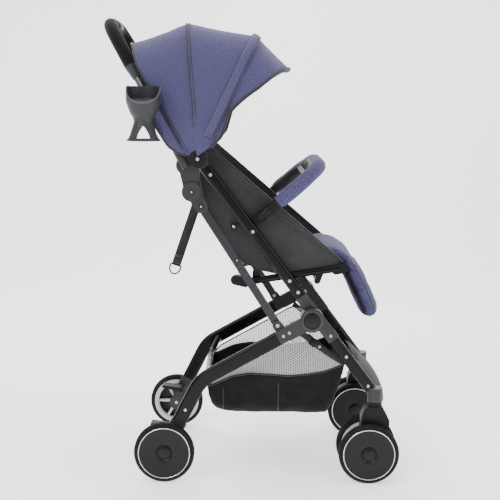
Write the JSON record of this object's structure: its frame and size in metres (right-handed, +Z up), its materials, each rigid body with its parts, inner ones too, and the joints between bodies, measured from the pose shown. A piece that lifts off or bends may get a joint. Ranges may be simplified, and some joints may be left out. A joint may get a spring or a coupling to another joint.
{
  "type": "baby stroller",
  "caption": "Compact folding stroller with a linked folding frame, swivel twin casters, reclining seat, hinged footrest, sun canopy, padded bumper bar, basket and cup holder.",
  "frame": {"origin": "on the floor, midway between the foremost and rearmost points, on the middle plane of the frame", "axes": "+X forward, +Y to the child's left, +Z up"},
  "size_m": [0.675, 0.495, 1.034],
  "materials": {
    "frame_paint": "satin",
    "dark_plastic": "fine grained",
    "shield_plastic": "smooth satin",
    "button_plastic": "satin",
    "foam_grip": "matte foam",
    "rivet_steel": "bright",
    "blue_fabric": "heathered weave",
    "black_fabric": "plain weave",
    "mesh_fabric": "open mesh",
    "webbing": "ribbed webbing",
    "tyre_rubber": "matte",
    "rim_plastic": "satin"
  },
  "bodies": {
    "frame": {"main_tubes": "frame_paint", "top_caps": "dark_plastic", "hub_castings": "dark_plastic", "front_legs": "frame_paint", "caster_collars": "dark_plastic", "front_shield": "shield_plastic", "seat_frame": "frame_paint", "seat_pad": "blue_fabric", "seat_wings": "black_fabric", "bumper_brackets": "dark_plastic", "basket_tub": "black_fabric", "basket_mesh": "mesh_fabric", "basket_straps": "webbing", "frame_fasteners": "rivet_steel", "canopy_rear_panel": "blue_fabric"},
    "rear_legs": {"rear_leg_tubes": "frame_paint", "hub_arms": "dark_plastic", "rear_cross_bar": "frame_paint", "wheel_sockets": "dark_plastic", "leg_fasteners": "rivet_steel"},
    "handle": {"handle_tube": "frame_paint", "grip": "foam_grip", "grip_collars": "dark_plastic", "handle_castings": "dark_plastic", "cup_holder": "dark_plastic", "fold_housing": "dark_plastic"},
    "fold_links": {"link_castings": "dark_plastic", "link_bars": "frame_paint"},
    "canopy_middle": {"mid_bow": "dark_plastic", "canopy_middle_panel": "blue_fabric"},
    "canopy_front": {"front_bow": "dark_plastic", "canopy_front_panel": "blue_fabric"},
    "backrest": {"backrest_frame": "frame_paint", "backrest_pad": "blue_fabric", "recline_strap": "webbing", "strap_ring": "dark_plastic", "harness": "webbing"},
    "footrest": {"footrest_frame": "dark_plastic", "footrest_pad": "blue_fabric"},
    "bumper_bar": {"bumper_tube": "frame_paint", "bumper_sleeve": "blue_fabric"},
    "bumper_button_right": {"bumper_button_right": "dark_plastic"},
    "bumper_button_left": {"bumper_button_left": "dark_plastic"},
    "fold_button": {"fold_button": "button_plastic"},
    "brake_pedal_right": {"brake_pedal_right": "dark_plastic"},
    "brake_pedal_left": {"brake_pedal_left": "dark_plastic"},
    "rear_wheel_right": {"rear_tyre_right": "tyre_rubber", "rear_rim_right": "rim_plastic"},
    "rear_wheel_left": {"rear_tyre_left": "tyre_rubber", "rear_rim_left": "rim_plastic"},
    "caster_right": {"caster_fork_right": "dark_plastic"},
    "front_wheel_right_outer": {"front_tyre_right_outer": "tyre_rubber", "front_rim_right_outer": "rim_plastic"},
    "front_wheel_right_inner": {"front_tyre_right_inner": "tyre_rubber", "front_rim_right_inner": "rim_plastic"},
    "caster_left": {"caster_fork_left": "dark_plastic"},
    "front_wheel_left_outer": {"front_tyre_left_outer": "tyre_rubber", "front_rim_left_outer": "rim_plastic"},
    "front_wheel_left_inner": {"front_tyre_left_inner": "tyre_rubber", "front_rim_left_inner": "rim_plastic"}
  },
  "joints": [
    {"name": "rear_leg_fold", "type": "hinge", "parent": "frame", "child": "rear_legs", "pos_m": [0.138, 0, 0.369], "axis": [0, -1, 0], "range_deg": [-50.5, 0]},
    {"name": "handle_fold", "type": "hinge", "parent": "frame", "child": "handle", "pos_m": [-0.118, 0, 0.7255], "axis": [0, -1, 0], "range_deg": [0, 120.1]},
    {"name": "link_swing", "type": "hinge", "parent": "rear_legs", "child": "fold_links", "pos_m": [0.0615, 0, 0.3552], "axis": [0, -1, 0], "range_deg": [0, 38.9]},
    {"name": "canopy_middle_tilt", "type": "hinge", "parent": "frame", "child": "canopy_middle", "pos_m": [-0.118, 0, 0.7255], "axis": [0, 1, 0], "range_deg": [-18, 10], "deforming": ["canopy_rear_panel"]},
    {"name": "canopy_front_tilt", "type": "hinge", "parent": "canopy_middle", "child": "canopy_front", "pos_m": [-0.118, 0, 0.7255], "axis": [0, 1, 0], "range_deg": [-27, 15], "deforming": ["canopy_middle_panel"]},
    {"name": "backrest_recline", "type": "hinge", "parent": "frame", "child": "backrest", "pos_m": [0.0132, 0, 0.4686], "axis": [0, -1, 0], "range_deg": [0, 41]},
    {"name": "footrest_lift", "type": "hinge", "parent": "frame", "child": "footrest", "pos_m": [0.21, 0, 0.482], "axis": [0, -1, 0], "range_deg": [0, 63]},
    {"name": "bumper_swing", "type": "hinge", "parent": "frame", "child": "bumper_bar", "pos_m": [0.022, 0, 0.598], "axis": [0, -1, 0], "range_deg": [-30, 40]},
    {"name": "bumper_button_right_press", "type": "slide", "parent": "bumper_bar", "child": "bumper_button_right", "axis": [0, 1, 0], "range_m": [0, 0.0025], "stiffness_N_per_m": 400},
    {"name": "bumper_button_left_press", "type": "slide", "parent": "bumper_bar", "child": "bumper_button_left", "axis": [0, -1, 0], "range_m": [0, 0.0025], "stiffness_N_per_m": 400},
    {"name": "fold_button_press", "type": "slide", "parent": "handle", "child": "fold_button", "axis": [-1, 0, 0], "range_m": [0, 0.0025], "stiffness_N_per_m": 400},
    {"name": "brake_pedal_right_press", "type": "hinge", "parent": "rear_legs", "child": "brake_pedal_right", "pos_m": [-0.176, 0, 0.112], "axis": [0, -1, 0], "range_deg": [0, 20]},
    {"name": "brake_pedal_left_press", "type": "hinge", "parent": "rear_legs", "child": "brake_pedal_left", "pos_m": [-0.176, 0, 0.112], "axis": [0, -1, 0], "range_deg": [0, 20]},
    {"name": "rear_wheel_right_spin", "type": "hinge", "parent": "rear_legs", "child": "rear_wheel_right", "pos_m": [-0.19, -0.2115, 0.068], "axis": [0, 1, 0], "continuous": true},
    {"name": "rear_wheel_left_spin", "type": "hinge", "parent": "rear_legs", "child": "rear_wheel_left", "pos_m": [-0.19, 0.2115, 0.068], "axis": [0, 1, 0], "continuous": true},
    {"name": "caster_right_swivel", "type": "hinge", "parent": "frame", "child": "caster_right", "pos_m": [0.285, -0.174, 0.19], "axis": [0, 0, 1], "continuous": true},
    {"name": "front_wheel_right_outer_spin", "type": "hinge", "parent": "caster_right", "child": "front_wheel_right_outer", "pos_m": [0.27, -0.21, 0.068], "axis": [0, 1, 0], "continuous": true},
    {"name": "front_wheel_right_inner_spin", "type": "hinge", "parent": "caster_right", "child": "front_wheel_right_inner", "pos_m": [0.27, -0.138, 0.068], "axis": [0, 1, 0], "continuous": true},
    {"name": "caster_left_swivel", "type": "hinge", "parent": "frame", "child": "caster_left", "pos_m": [0.285, 0.174, 0.19], "axis": [0, 0, 1], "continuous": true},
    {"name": "front_wheel_left_outer_spin", "type": "hinge", "parent": "caster_left", "child": "front_wheel_left_outer", "pos_m": [0.27, 0.21, 0.068], "axis": [0, 1, 0], "continuous": true},
    {"name": "front_wheel_left_inner_spin", "type": "hinge", "parent": "caster_left", "child": "front_wheel_left_inner", "pos_m": [0.27, 0.138, 0.068], "axis": [0, 1, 0], "continuous": true}
  ],
  "couplings": [
    {"joint": "handle_fold", "follows": "rear_leg_fold", "ratio": -2.3762},
    {"joint": "link_swing", "follows": "rear_leg_fold", "ratio": -0.7683},
    {"joint": "canopy_front_tilt", "follows": "canopy_middle_tilt", "ratio": 1.4}
  ]
}
